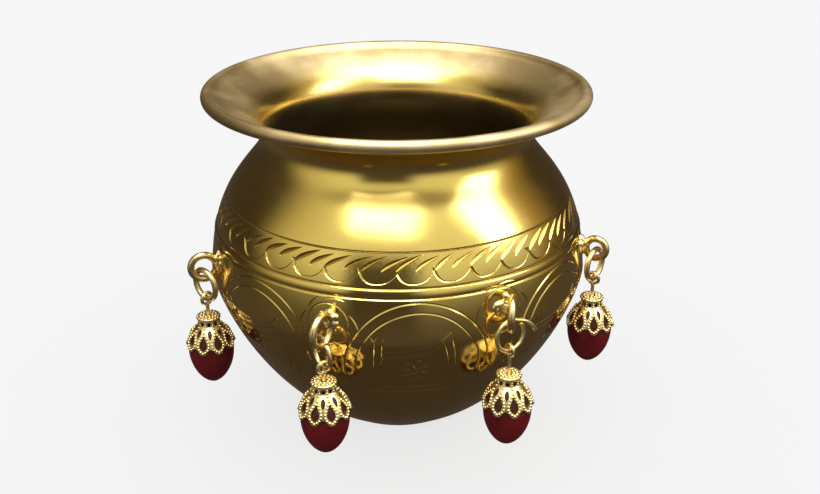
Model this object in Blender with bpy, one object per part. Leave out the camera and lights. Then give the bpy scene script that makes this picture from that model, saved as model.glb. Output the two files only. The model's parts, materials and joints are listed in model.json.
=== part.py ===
"""A small spun brass pot with a wide flared mouth, hung with seven garnet-red drops.

Seven wire eyes (lugs) are soldered round the belly. An open jump ring hangs in each eye, and an eye pin
hangs in each ring. The pin carries a petalled bead cap and a pointed bead, which are fixed to it.

Metres, +Z up. The origin is the centre of the flat base, and -Y is the front. An azimuth is measured
from the front towards +X, so a rotation of that many degrees about Z turns -Y to it.
"""

from math import cos, pi, radians, sin

import bmesh
import bpy
import numpy as np
from mathutils import Matrix, Vector

MM = 0.001
FIT_GAP = 0.3 * MM  # clearance between neighbouring pieces

# Bowl. SHOULDER is the outer surface above the belly, as (radius, height).
BASE_RADIUS = 16.5 * MM
BELLY_RADIUS = 44.55 * MM
BELLY_HEIGHT = 38.5 * MM
BELLY_DEPTH = 41.9 * MM  # from the belly down to where the full curve would close, below the base
BELLY_POWERS = (1.3, 2.248)
SHOULDER = [
    (44.55 * MM, 38.5 * MM),
    (43.65 * MM, 45.6 * MM),
    (42.0 * MM, 52.0 * MM),
    (38.9 * MM, 58.3 * MM),
    (34.6 * MM, 63.9 * MM),
    (32.0 * MM, 67.3 * MM),
    (31.0 * MM, 70.5 * MM),
    (32.2 * MM, 73.3 * MM),
    (36.0 * MM, 76.2 * MM),
    (42.2 * MM, 79.0 * MM),
]
WALL = 1.1 * MM
RIM_RADIUS = 43.0 * MM
RIM_HEIGHT = 80.0 * MM
LIP_RADIUS = 0.85 * MM
BOWL_SEGMENTS = 48

# Lugs, one row each: azimuth; height of the eye's centre; its distance from the pot's axis; centreline
# radius of the eye; and how far its upright plane is turned from the radial one. Each is a wire eye
# that was soldered on by eye, so no two are quite alike.
LUG_WIRE_RADIUS = 0.85 * MM
LUGS = [
    (-67.9, 43.2 * MM, 47.15 * MM, 2.85 * MM, -2.0),
    (-18.9, 41.7 * MM, 47.6 * MM, 3.35 * MM, -9.0),
    (29.6, 43.2 * MM, 46.9 * MM, 3.25 * MM, -37.0),
    (77.3, 43.9 * MM, 47.2 * MM, 2.4 * MM, -17.5),
    (131.7, 42.2 * MM, 47.2 * MM, 3.1 * MM, -20.0),
    (184.7, 42.2 * MM, 47.3 * MM, 3.2 * MM, -20.0),
    (237.6, 42.2 * MM, 47.2 * MM, 3.1 * MM, -20.0),
]

# Jump rings, one row for each lug: azimuth that the ring's face looks to; its centreline and wire
# radii; and the length of the drop's neck, from the ring's wire down to the cap.
RINGS = [
    (-41.0, 3.50 * MM, 0.80 * MM, 4.1 * MM),
    (-57.0, 3.35 * MM, 0.60 * MM, 2.95 * MM),
    (31.0, 3.50 * MM, 0.55 * MM, 5.4 * MM),
    (51.5, 3.60 * MM, 0.80 * MM, 4.5 * MM),
    (108.0, 3.60 * MM, 0.80 * MM, 3.4 * MM),
    (160.0, 3.50 * MM, 0.60 * MM, 3.2 * MM),
    (225.0, 3.60 * MM, 0.80 * MM, 3.6 * MM),
]
LUG_SEGMENTS = 20
LUG_ZONE = (27.2 * MM, 57.2 * MM)  # heights between which lugs may stand
RING_POINTS = 23  # along the wire of a jump ring
RING_SPLIT = 0.6 * MM
RING_SPLIT_ANGLE = 35.0  # of the split, from the ring's own horizontal

# Drop: pin, cap and bead. Depths are measured down from the top face of the cap.
PIN_RADIUS = 0.4 * MM
PIN_DEPTH = 7.0 * MM
PIN_EYE_TURN = (-78, 222)  # degrees, from the shank round to the open end of the eye
PIN_EYE_POINTS = 13
PIN_SHOULDER = 0.25 * MM  # from the bottom of the eye down to the straight shank
CAP_HEIGHT = 7.7 * MM
CAP_DISC_RADIUS = 2.95 * MM
CAP_DISC_THICKNESS = 1.0 * MM
CAP_STEM_RADIUS = 2.6 * MM
CAP_STEM_SLOPE = 0.2 * MM
CAP_BELL_TOP = 2.6 * MM
CAP_PLAIN_SHARE = 0.6  # of the cap's height, above its petals
CAP_WALL = 0.5 * MM
CAP_PETALS = 10
CAP_NOTCH = 1.0 * MM  # from a petal's tip up to the notch beside it
BEAD_TOP = 1.5 * MM
BEAD_TOP_FLAT = 0.1 * MM  # that the hole takes off the top
BEAD_WIDEST = 8.6 * MM
BEAD_TIP = 17.6 * MM
BEAD_RADIUS = 5.2 * MM
BEAD_SEGMENTS = 14
BEAD_RINGS = 9


def clear_scene():
    for obj in list(bpy.data.objects):
        bpy.data.objects.remove(obj, do_unlink=True)


def make_material(name, colour, metallic, roughness):
    material = bpy.data.materials.new(name)
    material.use_nodes = True
    shader = material.node_tree.nodes["Principled BSDF"]
    shader.inputs["Base Color"].default_value = (*colour, 1.0)
    shader.inputs["Metallic"].default_value = metallic
    shader.inputs["Roughness"].default_value = roughness
    return material


def add_object(name, mesh, material, place=None):
    """Links a mesh to the scene as an object, at the given place."""
    mesh.shade_smooth()
    mesh.set_sharp_from_angle(angle=radians(40))
    mesh.materials.clear()
    mesh.materials.append(material)
    obj = bpy.data.objects.new(name, mesh)
    bpy.context.collection.objects.link(obj)
    obj.matrix_world = place or Matrix()
    return obj


def smooth_curve(points, steps):
    """Points along a natural cubic spline through the given (radius, height) points."""
    knots = np.array(points)
    count = len(knots)
    along = np.concatenate([[0], np.cumsum(np.linalg.norm(np.diff(knots, axis=0), axis=1))])
    span = np.diff(along)
    system = np.eye(count)
    bend = np.zeros((count, 2))
    for i in range(1, count - 1):
        system[i, i - 1 : i + 2] = span[i - 1], 2 * (span[i - 1] + span[i]), span[i]
        rise = np.diff(knots[i - 1 : i + 2], axis=0) / span[i - 1 : i + 1, None]
        bend[i] = 6 * (rise[1] - rise[0])
    second = np.linalg.solve(system, bend)
    found = []
    for s in np.linspace(0, along[-1], steps):
        i = min(np.searchsorted(along, s, side="right") - 1, count - 2)
        h, a, b = span[i], along[i + 1] - s, s - along[i]
        found.append(
            (second[i] * a**3 + second[i + 1] * b**3) / (6 * h)
            + (knots[i] / h - second[i] * h / 6) * a
            + (knots[i + 1] / h - second[i + 1] * h / 6) * b
        )
    return np.array(found)


def lower_radius(height):
    """Outer radius of the pot at a height between the base and the belly."""
    power, root = BELLY_POWERS
    drop = (BELLY_HEIGHT - height) / BELLY_DEPTH
    return BELLY_RADIUS * (1 - drop**power) ** (1 / root)


def outer_line(lower_steps=9, upper_steps=14):
    """The outer surface of the pot from the edge of its base to the lip, as (radius, height) points."""
    edge = [(BASE_RADIUS, 0.0)]
    heights = [BELLY_HEIGHT * (1 - cos(pi / 2 * i / lower_steps)) for i in range(1, lower_steps)]
    below = [(lower_radius(height), height) for height in heights]
    return np.array(edge + below + [tuple(p) for p in smooth_curve(SHOULDER, upper_steps)])


def offset(line, distance):
    """A line of (radius, height) points moved sideways, to the left of its direction."""
    ahead = np.gradient(line, axis=0)
    ahead /= np.linalg.norm(ahead, axis=1)[:, None]
    return line + distance * np.stack([-ahead[:, 1], ahead[:, 0]], axis=1)


def arc(centre, radius, start, end, steps):
    """Points on an arc of a circle, angles in degrees."""
    angles = np.radians(np.linspace(start, end, steps))
    return np.stack([centre[0] + radius * np.cos(angles), centre[1] + radius * np.sin(angles)], axis=1)


def turned_mesh(name, outline, segments):
    """A solid turned about Z from an outline that runs from axis to axis, lower end first."""
    shape = bmesh.new()
    previous = None
    for radius, height in outline:
        if radius < 1e-9:
            ring = [shape.verts.new((0, 0, height))] * segments
        else:
            angles = [2 * pi * k / segments for k in range(segments)]
            ring = [shape.verts.new((radius * sin(a), -radius * cos(a), height)) for a in angles]
        if previous:
            for k in range(segments):
                corners = (previous[k], previous[k - segments + 1], ring[k - segments + 1], ring[k])
                shape.faces.new(dict.fromkeys(corners))
        previous = ring
    mesh = bpy.data.meshes.new(name)
    shape.to_mesh(mesh)
    shape.free()
    return mesh


def wire_mesh(name, points, radius, cyclic=False, sides=8):
    """Round wire along a line of points, as a mesh."""
    curve = bpy.data.curves.new(name, "CURVE")
    curve.dimensions = "3D"
    curve.bevel_depth = radius
    curve.bevel_resolution = sides // 2 - 2
    curve.use_fill_caps = True
    spline = curve.splines.new("POLY")
    spline.points.add(len(points) - 1)
    for target, point in zip(spline.points, points):
        target.co = (*point, 1)
    spline.use_cyclic_u = cyclic
    carrier = bpy.data.objects.new(name, curve)
    mesh = bpy.data.meshes.new_from_object(carrier)
    bpy.data.objects.remove(carrier)
    shape = bmesh.new()
    shape.from_mesh(mesh)
    bmesh.ops.remove_doubles(shape, verts=shape.verts, dist=1e-7)
    bmesh.ops.recalc_face_normals(shape, faces=shape.faces)
    shape.to_mesh(mesh)
    shape.free()
    return mesh


def placed(x, y, z, azimuth):
    return Matrix.Translation((x, y, z)) @ Matrix.Rotation(radians(azimuth), 4, "Z")


def build_bowl(material):
    outer = outer_line()
    inner = offset(outer[1:], WALL)
    inner = inner[inner[:, 1] > WALL + 0.5 * MM]
    floor_edge = inner[0][0] - 1.5 * MM
    lip = arc((RIM_RADIUS, RIM_HEIGHT), LIP_RADIUS, -100, 160, 6)
    outline = [(0, 0), *outer, *lip, *inner[::-1], (floor_edge, WALL), (0, WALL)]
    add_object("bowl", turned_mesh("bowl", outline, BOWL_SEGMENTS), material)


def pot_cutter():
    """The pot's surface near the belly, grown by the clearance, that trims the back of each lug."""
    near = [point for point in outer_line() if LUG_ZONE[0] < point[1] < LUG_ZONE[1]]
    outline = [(0, near[0][1]), *((r + FIT_GAP, z) for r, z in near), (0, near[-1][1])]
    cutter = bpy.data.objects.new("pot_cutter", turned_mesh("pot_cutter", outline, BOWL_SEGMENTS))
    bpy.context.collection.objects.link(cutter)
    cutter.hide_render = True
    cutter.display_type = "WIRE"
    return cutter


def build_lug(number, row, cutter, material):
    """The eye lies in its own YZ plane, about its centre, and -Y points away from the pot. It returns the
    middle of the wire at the bottom of the eye, which the jump ring hangs on."""
    azimuth, height, reach, loop_radius, twist = row
    turns = [2 * pi * k / LUG_SEGMENTS for k in range(LUG_SEGMENTS)]
    points = [(0, loop_radius * cos(a), loop_radius * sin(a)) for a in turns]
    centre = Matrix.Rotation(radians(azimuth), 3, "Z") @ Vector((0, -reach, height))
    name = f"lug_{number}"
    mesh = wire_mesh(name, points, LUG_WIRE_RADIUS, cyclic=True)
    lug = add_object(name, mesh, material, placed(*centre, azimuth + twist))
    cut = lug.modifiers.new("Seat on the pot", "BOOLEAN")
    cut.operation = "DIFFERENCE"
    cut.object = cutter
    return centre - Vector((0, 0, loop_radius))


def build_jump_ring(number, pivot, facing, loop_radius, wire_radius, material):
    """The ring lies in its own XZ plane. Its origin is the middle of the lug's wire, which it swings on."""
    link = LUG_WIRE_RADIUS + wire_radius + FIT_GAP
    centre_height = link - loop_radius
    half_split = RING_SPLIT / 2 / loop_radius
    start = radians(RING_SPLIT_ANGLE) + half_split
    turns = np.linspace(start, start + 2 * pi - 2 * half_split, RING_POINTS)
    points = [(loop_radius * cos(a), 0, centre_height + loop_radius * sin(a)) for a in turns]
    name = f"jump_ring_{number}"
    add_object(name, wire_mesh(name, points, wire_radius, sides=6), material, placed(*pivot, facing))
    return pivot + Vector((0, 0, centre_height - loop_radius))


def pin_mesh(name, wire_radius, neck):
    """An eye in the pin's own YZ plane, about the ring's wire, and a straight shank below it."""
    eye_radius = wire_radius + FIT_GAP + PIN_RADIUS
    turns = np.radians(np.linspace(*PIN_EYE_TURN, PIN_EYE_POINTS))
    eye = [(0, eye_radius * cos(a), eye_radius * sin(a)) for a in turns]
    shank_top = -(eye_radius + PIN_SHOULDER)
    shank = [(0, 0, -(neck + PIN_DEPTH)), (0, 0, shank_top)]
    return wire_mesh(name, shank + eye, PIN_RADIUS, sides=6)


def bead_radius(depth):
    """Radius of the bead at a depth below the top of the cap: an egg with a slightly pointed tip."""
    if depth < BEAD_WIDEST:
        share = (BEAD_WIDEST - depth) / (BEAD_WIDEST - BEAD_TOP)
        return BEAD_RADIUS * max(0.0, 1 - share**1.8) ** (1 / 1.7)
    share = (depth - BEAD_WIDEST) / (BEAD_TIP - BEAD_WIDEST)
    return BEAD_RADIUS * max(0.0, 1 - share**2) ** 0.6


def bead_mesh(name):
    """The bead, with the blind hole that the pin is glued in."""
    hole = PIN_RADIUS + FIT_GAP
    steps = [(1 - cos(pi * k / BEAD_RINGS)) / 2 for k in range(1, BEAD_RINGS)]
    depths = [BEAD_TIP - (BEAD_TIP - BEAD_TOP) * step for step in steps]
    side = [(bead_radius(depth), -depth) for depth in depths if bead_radius(depth) > hole]
    top = (hole, -(BEAD_TOP + BEAD_TOP_FLAT))
    outline = [(0, -BEAD_TIP), *side, top, (hole, -(PIN_DEPTH + FIT_GAP)), (0, -(PIN_DEPTH + FIT_GAP))]
    return turned_mesh(name, outline, BEAD_SEGMENTS)


def cap_mesh(name):
    """A thin bell over the bead: a disc with a hole, a stem, then petals that end in tips and notches."""
    hole = PIN_RADIUS + FIT_GAP
    depths = np.linspace(CAP_BELL_TOP, CAP_HEIGHT, 4)
    inside = [(bead_radius(depth) + FIT_GAP, -depth) for depth in depths]
    outside = [(radius + CAP_WALL, height) for radius, height in inside]
    stem_inside = CAP_STEM_RADIUS - CAP_WALL
    outline = [
        (hole, -CAP_DISC_THICKNESS),
        (stem_inside, -CAP_DISC_THICKNESS - CAP_STEM_SLOPE),
        *inside,
        *outside[::-1],
        (CAP_STEM_RADIUS, -CAP_DISC_THICKNESS),
        (CAP_DISC_RADIUS, -CAP_DISC_THICKNESS),
        (CAP_DISC_RADIUS, 0),
        (hole, 0),
    ]
    segments = 2 * CAP_PETALS
    shape = bmesh.new()
    rings = []
    for radius, height in outline:
        ring = []
        for k in range(segments):
            angle = 2 * pi * k / segments
            share = (-height / CAP_HEIGHT - CAP_PLAIN_SHARE) / (1 - CAP_PLAIN_SHARE)
            lift = (k % 2) * CAP_NOTCH * max(0.0, share)
            ring.append(shape.verts.new((radius * sin(angle), -radius * cos(angle), height + lift)))
        rings.append(ring)
    for i, ring in enumerate(rings):
        after = rings[(i + 1) % len(rings)]
        for k in range(segments):
            beside = (k + 1) % segments
            shape.faces.new((ring[k], after[k], after[beside], ring[beside]))
    bmesh.ops.recalc_face_normals(shape, faces=shape.faces)
    mesh = bpy.data.meshes.new(name)
    shape.to_mesh(mesh)
    shape.free()
    return mesh


def build_drop(number, pivot, facing, wire_radius, neck, findings, bead_glass):
    """Pin, cap and bead share the origin that they swing about, in the middle of the ring's wire."""
    cap = cap_mesh(f"bead_cap_{number}")
    bead = bead_mesh(f"bead_{number}")
    for mesh in (cap, bead):
        mesh.transform(Matrix.Translation((0, 0, -neck)))
    place = placed(*pivot, facing)
    add_object(f"eye_pin_{number}", pin_mesh(f"eye_pin_{number}", wire_radius, neck), findings, place)
    add_object(f"bead_cap_{number}", cap, findings, place)
    add_object(f"bead_{number}", bead, bead_glass, place)


def main():
    clear_scene()
    brass = make_material("polished_brass", (0.56, 0.38, 0.12), 1.0, 0.22)
    findings = make_material("gilt_findings", (0.86, 0.57, 0.18), 1.0, 0.28)
    bead_glass = make_material("garnet_glass", (0.16, 0.006, 0.012), 0.0, 0.4)
    build_bowl(brass)
    cutter = pot_cutter()
    for number, (lug_row, ring_row) in enumerate(zip(LUGS, RINGS), start=1):
        facing, loop_radius, wire_radius, neck = ring_row
        lug_wire = build_lug(number, lug_row, cutter, findings)
        ring_wire = build_jump_ring(number, lug_wire, facing, loop_radius, wire_radius, findings)
        build_drop(number, ring_wire, facing, wire_radius, neck, findings, bead_glass)


main()
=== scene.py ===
"""Looks of the brass pot with hanging bead drops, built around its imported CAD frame.

Metres, +Z up, the origin at the middle of the base, and -Y the front, as in the CAD. An azimuth is
measured from the front towards +X.
"""

import json
from math import atan2, cos, hypot, pi, radians, sin, tan
from random import Random

import bmesh
import bpy
import numpy as np
from mathutils import Euler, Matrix, Vector, geometry, kdtree


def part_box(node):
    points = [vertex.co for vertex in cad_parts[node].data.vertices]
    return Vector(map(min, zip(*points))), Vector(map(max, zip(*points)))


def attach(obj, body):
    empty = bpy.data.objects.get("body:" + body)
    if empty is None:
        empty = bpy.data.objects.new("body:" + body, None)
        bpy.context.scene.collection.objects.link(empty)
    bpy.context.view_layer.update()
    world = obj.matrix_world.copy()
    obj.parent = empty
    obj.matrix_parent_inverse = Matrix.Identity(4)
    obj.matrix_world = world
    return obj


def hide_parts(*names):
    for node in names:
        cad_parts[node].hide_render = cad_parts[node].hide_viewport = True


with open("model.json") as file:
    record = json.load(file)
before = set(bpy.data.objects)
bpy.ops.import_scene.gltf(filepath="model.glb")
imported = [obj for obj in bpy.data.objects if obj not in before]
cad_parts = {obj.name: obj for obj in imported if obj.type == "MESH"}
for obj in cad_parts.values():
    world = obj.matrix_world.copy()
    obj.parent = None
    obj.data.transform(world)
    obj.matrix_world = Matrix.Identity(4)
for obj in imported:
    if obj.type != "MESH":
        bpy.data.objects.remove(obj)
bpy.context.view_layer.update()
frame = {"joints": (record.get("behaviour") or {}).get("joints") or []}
JOINTS = {joint["name"]: joint for joint in frame["joints"]}
PENDANTS = range(1, 1 + sum(name.startswith("ring_swing") for name in JOINTS))

MM = 0.001

# The pot's outline, as the CAD has it.
BASE_RADIUS = 16.5 * MM
BELLY_RADIUS = 44.55 * MM
BELLY_HEIGHT = 38.5 * MM
BELLY_DEPTH = 41.9 * MM
BELLY_POWERS = (1.3, 2.248)
SHOULDER = [
    (44.55 * MM, 38.5 * MM),
    (43.65 * MM, 45.6 * MM),
    (42.0 * MM, 52.0 * MM),
    (38.9 * MM, 58.3 * MM),
    (34.6 * MM, 63.9 * MM),
    (32.0 * MM, 67.3 * MM),
    (31.0 * MM, 70.5 * MM),
    (32.2 * MM, 73.3 * MM),
    (36.0 * MM, 76.2 * MM),
    (42.2 * MM, 79.0 * MM),
]
WALL = 1.1 * MM
FLOOR_CORNER = 2.2 * MM  # radius at the edge of the base

# The rolled lip, which is thicker here than in the CAD.
LIP_RADIUS = 1.35 * MM
LIP_REACH = 43.85 * MM
LIP_TOP = 80.85 * MM
LIP_ROOT = 2.75 * MM  # inward from its reach to where it leaves the flare

# Wires of the findings, as the CAD has them.
LUG_WIRE_RADIUS = 0.85 * MM
PIN_RADIUS = 0.4 * MM
FIT_GAP = 0.3 * MM
RING_CUT = 0.35 * MM  # between the two ends of a ring's wire

# Engraving: heights of the turned lines, counts in the band, and radii of the roundels' two circles.
TOP_LINE_HEIGHT = 56.6 * MM
RIDGE_HEIGHTS = (49.75 * MM, 47.7 * MM)
BAND_CUSPS = 35
BAND_LEAVES = 70
ROUNDEL_RADIUS = 15.3 * MM
ROUNDEL_INNER_RADIUS = 13.1 * MM
COLUMNS = 192  # of the mesh round the pot
ENGRAVED_HEIGHTS = (14.0 * MM, 57.3 * MM)  # that the engraved part of the mesh lies between

# Shares of the band's height, from the ridge up to the top line. A pair is the range of a random draw.
SCALLOP_BOTTOM = 0.135
SCALLOP_TOPS = (0.41, 0.50)
LEAF_BOTTOMS = (0.42, 0.50)
LEAF_TOPS = (0.88, 0.94)

# The cartouche in a roundel is a double line. For each line, in mm from the middle of the roundel: its left
# side, its right side, its bottom, the left end of its top, and its top right corner.
CARTOUCHES = ((-7.6, 6.3, -7.2, 2.6, 6.7), (-9.2, 7.9, -8.9, 4.3, 8.6))
CARTOUCHE_LEFT_TOP = 7.0
BLOSSOM_CENTRE = (-0.5 * MM, -1.6 * MM)
BLOSSOM_REACH = 3.3 * MM

SPRUNG_RING = 3  # the ring whose cut ends have been bent apart

# Drop, with depths down from the top face of the cap.
CAP_HEIGHT = 7.9 * MM
CAP_PETALS = 9
PETAL_GRANULES = 16  # round the opening of each petal
CAP_WALL = 0.35 * MM
CAP_STANDS_OFF = 0.45 * MM  # outside of the cap's wall, from the bead
CAP_STEM_RADIUS = 2.35 * MM
CAP_DISC_RADIUS = 2.72 * MM
BEAD_TOP = 1.5 * MM
BEAD_WIDEST = 8.6 * MM
BEAD_TIP = 17.6 * MM
BEAD_RADIUS = 5.2 * MM
PIN_FOOT = 6.9 * MM
PIN_HOLE_FOOT = 7.4 * MM
FIRST_TURN, NEXT_TURN = 0.71, 0.52  # radians, so that the caps don't all face the same way

CAMERA_PLACE = (0, -0.2161, 0.1375)
CAMERA_TURN = (65.68, 0, -0.78)  # degrees
CAMERA_LENS = 42.76

# Name, azimuth, elevation, width and height in degrees, and glow of each panel of light.
PANELS = (("overhead", -14, 79, 40, 64, 5.0), ("streak", 71, 42, 23, 44, 5.0))
PANEL_DISTANCE = 0.7
PANELS_AIM = (0, 0, 0.05)

draw = Random(7)


# ---------------------------------------------------------------- helpers


def link(name, mesh):
    obj = bpy.data.objects.new(name, mesh)
    bpy.context.scene.collection.objects.link(obj)
    return obj


def outward(azimuth):
    """Unit vector away from the axis at an azimuth in radians."""
    return Vector((sin(azimuth), -cos(azimuth), 0))


def smooth_curve(points, steps):
    """Points along a natural cubic spline through the given points, evenly spaced along it."""
    knots = np.array(points, float)
    count = len(knots)
    along = np.concatenate([[0], np.cumsum(np.linalg.norm(np.diff(knots, axis=0), axis=1))])
    span = np.diff(along)
    system = np.eye(count)
    bend = np.zeros_like(knots)
    for i in range(1, count - 1):
        system[i, i - 1 : i + 2] = span[i - 1], 2 * (span[i - 1] + span[i]), span[i]
        rise = np.diff(knots[i - 1 : i + 2], axis=0) / span[i - 1 : i + 1, None]
        bend[i] = 6 * (rise[1] - rise[0])
    second = np.linalg.solve(system, bend)
    s = np.linspace(0, along[-1], steps)
    i = np.clip(np.searchsorted(along, s, side="right") - 1, 0, count - 2)
    h, a, b = span[i][:, None], (along[i + 1] - s)[:, None], (s - along[i])[:, None]
    return (
        (second[i] * a**3 + second[i + 1] * b**3) / (6 * h)
        + (knots[i] / h - second[i] * h / 6) * a
        + (knots[i + 1] / h - second[i + 1] * h / 6) * b
    )


def skin(rings, closed=False):
    """Faces from each ring of vertices to the next. A ring may be one vertex, repeated."""
    faces = []
    for ring, following in zip(rings, rings[1:] + rings[:1] if closed else rings[1:]):
        for k in range(len(ring)):
            m = (k + 1) % len(ring)
            face = tuple(dict.fromkeys((ring[k], ring[m], following[m], following[k])))
            if len(face) > 2:
                faces.append(face)
    return faces


def sweep(points, radii, sides, closed=False):
    """Vertices and faces of a tube through the points."""
    line = np.array(points, float)
    count = len(line)
    radii = np.broadcast_to(np.array(radii, float), (count,))
    ahead = np.roll(line, -1, 0) - np.roll(line, 1, 0) if closed else np.gradient(line, axis=0)
    ahead /= np.linalg.norm(ahead, axis=1)[:, None]
    first = np.cross(ahead[0], (0.31, 0.17, 0.94))
    sides_at = [first / np.linalg.norm(first)]
    for direction in ahead[1:]:
        side = sides_at[-1] - direction * np.dot(direction, sides_at[-1])
        sides_at.append(side / np.linalg.norm(side))
    side = np.array(sides_at)
    if closed:  # turn the frame little by little, so that the last ring meets the first
        back = side[-1] - ahead[0] * np.dot(ahead[0], side[-1])
        other = np.cross(ahead[0], side[0])
        twist = np.arctan2(np.dot(back, other), np.dot(back, side[0]))
        turn = -twist * np.arange(count)[:, None] / count
        side = side * np.cos(turn) + np.cross(ahead, side) * np.sin(turn)
    up = np.cross(ahead, side)
    angles = np.linspace(0, 2 * pi, sides, endpoint=False)
    offsets = side[:, None] * np.cos(angles)[None, :, None] + up[:, None] * np.sin(angles)[None, :, None]
    offsets = offsets * radii[:, None, None]
    verts = (line[:, None] + offsets).reshape(-1, 3)
    rings = [list(range(i * sides, (i + 1) * sides)) for i in range(count)]
    faces = skin(rings, closed)
    if not closed:
        faces += [tuple(rings[0][::-1]), tuple(rings[-1])]
    return [tuple(v) for v in verts], faces


def turned(outline, segments, closed=False):
    """Vertices and faces of a solid turned about Z. Its outline is closed, or has its ends on the axis."""
    verts, rings = [], []
    for radius, height in outline:
        if radius < 1e-7:
            rings.append([len(verts)] * segments)
            verts.append((0, 0, height))
        else:
            rings.append(list(range(len(verts), len(verts) + segments)))
            verts += [
                (radius * sin(2 * pi * k / segments), -radius * cos(2 * pi * k / segments), height)
                for k in range(segments)
            ]
    return verts, skin(rings, closed)


def ball(centre, radius, rings=6, segments=10):
    """Vertices and faces of a small sphere."""
    verts, faces = turned([(sin(pi * i / rings), cos(pi * i / rings)) for i in range(rings + 1)], segments)
    return [tuple(np.array(centre) + radius * np.array((-y, x, z))) for x, y, z in verts], faces


def join(shapes):
    """One list of vertices and one of faces, from several."""
    verts, faces = [], []
    for more_verts, more_faces in shapes:
        start = len(verts)
        verts += more_verts
        faces += [tuple(start + i for i in face) for face in more_faces]
    return verts, faces


def make_mesh(name, shape, sharp=None):
    mesh = bpy.data.meshes.new(name)
    mesh.from_pydata(shape[0], [], shape[1])
    mesh.validate()
    work = bmesh.new()
    work.from_mesh(mesh)
    bmesh.ops.recalc_face_normals(work, faces=work.faces)
    work.to_mesh(mesh)
    work.free()
    mesh.shade_smooth()
    if sharp:
        mesh.set_sharp_from_angle(angle=radians(sharp))
    return mesh


# ---------------------------------------------------------------- the pot's outline


def lower_radius(height):
    power, root = BELLY_POWERS
    drop = (BELLY_HEIGHT - height) / BELLY_DEPTH
    return BELLY_RADIUS * (1 - drop**power) ** (1 / root)


def dense_outline():
    """The outer surface from just above the base's corner to the lip, finely sampled."""
    heights = BELLY_HEIGHT * (1 - np.cos(np.linspace(0, 1, 400) * pi / 2))
    below = [(lower_radius(h), h) for h in heights[heights > FLOOR_CORNER * 0.8]]
    above = [tuple(p) for p in smooth_curve(SHOULDER, 500)]
    return np.array(below[:-1] + above)


OUTLINE = dense_outline()
OUTLINE_S = np.concatenate([[0], np.cumsum(np.linalg.norm(np.diff(OUTLINE, axis=0), axis=1))])
OUTLINE_AHEAD = np.gradient(OUTLINE, OUTLINE_S, axis=0)
OUTLINE_AHEAD /= np.linalg.norm(OUTLINE_AHEAD, axis=1)[:, None]


def along_at_height(height):
    """Distance along the outline at a height on the pot's outside, below the neck."""
    below_neck = OUTLINE[:, 1] < 70 * MM
    return float(np.interp(height, OUTLINE[below_neck, 1], OUTLINE_S[below_neck]))


def outline_at(s):
    """Radius, height, and the outward normal's two components, at distances along the outline."""
    radius = np.interp(s, OUTLINE_S, OUTLINE[:, 0])
    height = np.interp(s, OUTLINE_S, OUTLINE[:, 1])
    out = np.interp(s, OUTLINE_S, OUTLINE_AHEAD[:, 1])
    up = -np.interp(s, OUTLINE_S, OUTLINE_AHEAD[:, 0])
    size = np.hypot(out, up)
    return radius, height, out / size, up / size


# ---------------------------------------------------------------- the engraving


def lug_size(number):
    """(centre of the lug's eye, radius of its loop) from the CAD lug."""
    foot = Vector(JOINTS[f"ring_swing_{number}"]["pos_m"])
    loop = (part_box(f"lug_{number}")[1].z - LUG_WIRE_RADIUS - foot.z) / 2
    return foot + Vector((0, 0, loop)), loop


def azimuth_of(place):
    return atan2(place.x, -place.y)


class Cut:
    """One tapered or even groove. points are (azimuth, distance along the outline)."""

    def __init__(self, points, half_width, depth, closed=False):
        self.points = np.array(points, float)
        count = len(self.points)
        self.half = np.broadcast_to(np.array(half_width, float), (count,))
        self.depth = np.broadcast_to(np.array(depth, float), (count,))
        self.closed = closed

    def moved(self, by):
        return Cut(self.points + (by, 0), self.half, self.depth, self.closed)

    def edges(self):
        """The centre line and both edges of the groove, as lists of points."""
        radius = outline_at(self.points[:, 1])[0]
        if self.closed:
            ahead = np.roll(self.points, -1, 0) - np.roll(self.points, 1, 0)
        else:
            ahead = np.gradient(self.points, axis=0)
        ahead = ahead * np.stack([radius, np.ones_like(radius)], axis=1)
        ahead /= np.linalg.norm(ahead, axis=1)[:, None]
        side = np.stack([-ahead[:, 1] / radius, ahead[:, 0]], axis=1) * self.half[:, None]
        return self.points, self.points + side, self.points - side


def leaf_profile(t, fattest=0.5):
    """A taper that is 0 at both ends and 1 where it is fattest."""
    warped = t ** (np.log(0.5) / np.log(fattest))
    return np.sin(pi * warped) ** 0.8


def band_cuts():
    """Slanting leaf cuts over a scalloped line, between the top line and the ridge."""
    low, high = along_at_height(RIDGE_HEIGHTS[0]), along_at_height(TOP_LINE_HEIGHT)
    tall = high - low
    cuts = []
    step = 2 * pi / BAND_CUSPS
    places = [k * step + draw.uniform(-0.04, 0.04) * step for k in range(BAND_CUSPS)]
    places.append(places[0] + 2 * pi)
    tops = [draw.uniform(*SCALLOP_TOPS) for _ in range(BAND_CUSPS)]
    tops.append(tops[0])
    t = np.linspace(0, 1, 17)
    for k in range(BAND_CUSPS):
        azimuth = places[k] + (places[k + 1] - places[k]) * t
        rise = np.abs(2 * t**0.85 - 1) ** 2.6
        peak = tops[k] + (tops[k + 1] - tops[k]) * t
        height = low + tall * (SCALLOP_BOTTOM + (peak - SCALLOP_BOTTOM) * rise)
        half = (0.10 + 0.30 * (1 - t) ** 3) * MM
        cuts.append(Cut(np.stack([azimuth, height], 1), half, 0.6 * half))
    step = 2 * pi / BAND_LEAVES
    t = np.linspace(0, 1, 13)
    for k in range(BAND_LEAVES):
        start = (k + draw.uniform(-0.1, 0.1)) * step
        run = draw.uniform(1.3, 1.6) * step
        bottom, top = draw.uniform(*LEAF_BOTTOMS), draw.uniform(*LEAF_TOPS)
        azimuth = start + run * t**1.45
        height = low + tall * (bottom + (top - bottom) * t**0.92)
        half = draw.uniform(0.44, 0.56) * MM * leaf_profile(t, 0.45)
        cuts.append(Cut(np.stack([azimuth, height], 1), half, 0.75 * half))
    return cuts


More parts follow.
